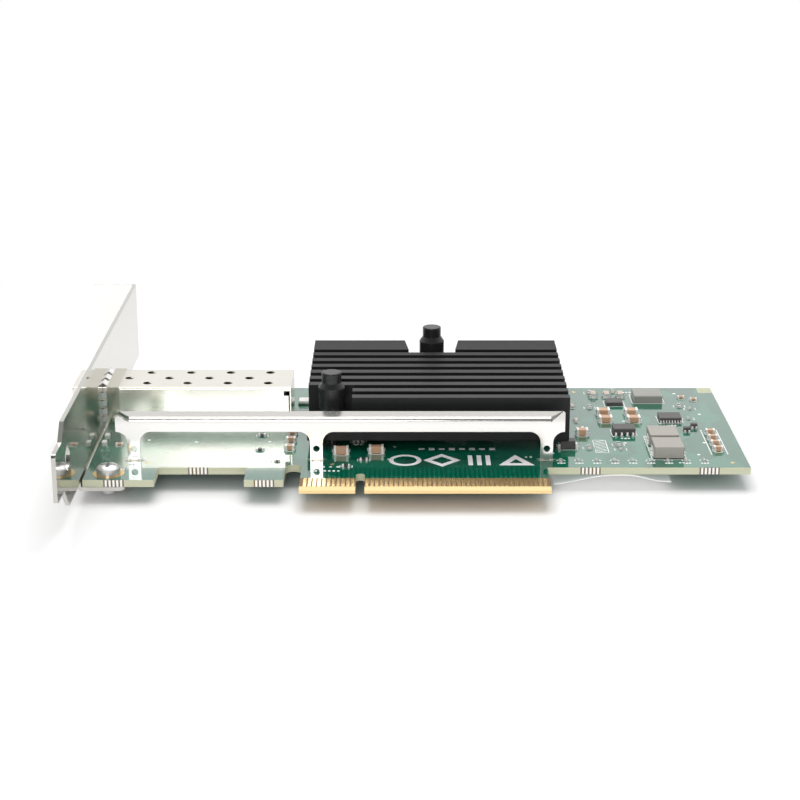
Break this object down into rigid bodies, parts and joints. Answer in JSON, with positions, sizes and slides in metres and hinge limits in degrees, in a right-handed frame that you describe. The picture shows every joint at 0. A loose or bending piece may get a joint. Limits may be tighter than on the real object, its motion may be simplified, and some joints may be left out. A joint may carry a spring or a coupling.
{
  "type": "network interface card",
  "caption": "Low, long expansion card for a computer, with a metal bracket, a caged optical transceiver port, a finned heatsink and an edge tongue with gold contacts.",
  "frame": {"origin": "where the centre line of the key notch in the edge tongue meets the board's main lower edge, on the component face", "axes": "+X along the card away from the bracket, +Y from the edge tongue towards the card's top edge, +Z out of the component face"},
  "size_m": [0.1526, 0.12, 0.0231],
  "materials": {
    "solder_mask": "glossy deep green solder mask on glass-fibre board",
    "gold_plating": "hard gold plating, satin",
    "bracket_steel": "bright nickel-plated sheet steel",
    "screw_steel": "bright zinc-plated steel",
    "cage_plating": "bright tin-plated sheet",
    "spring_copper": "tin-plated spring sheet",
    "socket_plastic": "black moulded plastic",
    "light_lens": "milky lens",
    "substrate": "green package substrate",
    "chip_cap": "matt black mould",
    "pad_silicone": "soft grey thermal pad",
    "heatsink_black": "black anodised extrusion",
    "pin_nylon": "black nylon",
    "spring_wire": "spring wire",
    "rail_plating": "bright tin-plated steel",
    "inductor_grey": "pressed powder core, light grey",
    "choke_black": "dark ferrite",
    "mould_black": "matt black moulding compound",
    "ceramic_tan": "tan ceramic",
    "resistor_black": "black glazed film",
    "tin_plating": "matt tin and solder",
    "label_white": "plain white label",
    "board_fibre": "bare glass-fibre laminate",
    "silk_white": "printed white ink"
  },
  "bodies": {
    "root": {"circuit_board": "solder_mask", "edge_contacts": "gold_plating", "io_bracket": "bracket_steel", "bracket_screws": "screw_steel", "cage_shell": "cage_plating", "cage_floor": "cage_plating", "emi_spring_collar": "spring_copper", "host_connector": "socket_plastic", "host_contacts": "gold_plating", "status_lights": "light_lens", "controller_substrate": "substrate", "controller_cap": "chip_cap", "thermal_pad": "pad_silicone", "heatsink": "heatsink_black", "push_pins": "pin_nylon", "pin_springs": "spring_wire", "stiffener_rail": "rail_plating", "power_inductor_1": "inductor_grey", "power_inductor_2": "inductor_grey", "inductor_terminals": "tin_plating", "choke": "choke_black", "flash_chip": "mould_black", "flash_leads": "tin_plating", "sequencer_chip": "mould_black", "sequencer_leads": "tin_plating", "monitor_chip": "mould_black", "monitor_leads": "tin_plating", "regulator_chip": "mould_black", "ceramic_capacitors": "ceramic_tan", "capacitor_terminals": "tin_plating", "chip_resistors": "resistor_black", "resistor_terminals": "tin_plating", "input_diode": "mould_black", "diode_terminals": "tin_plating", "small_transistors": "mould_black", "transistor_leads": "tin_plating", "crystal_base": "substrate", "crystal_can": "tin_plating", "underside_capacitors": "ceramic_tan", "underside_terminals": "tin_plating", "underside_label": "label_white"}
  },
  "joints": []
}
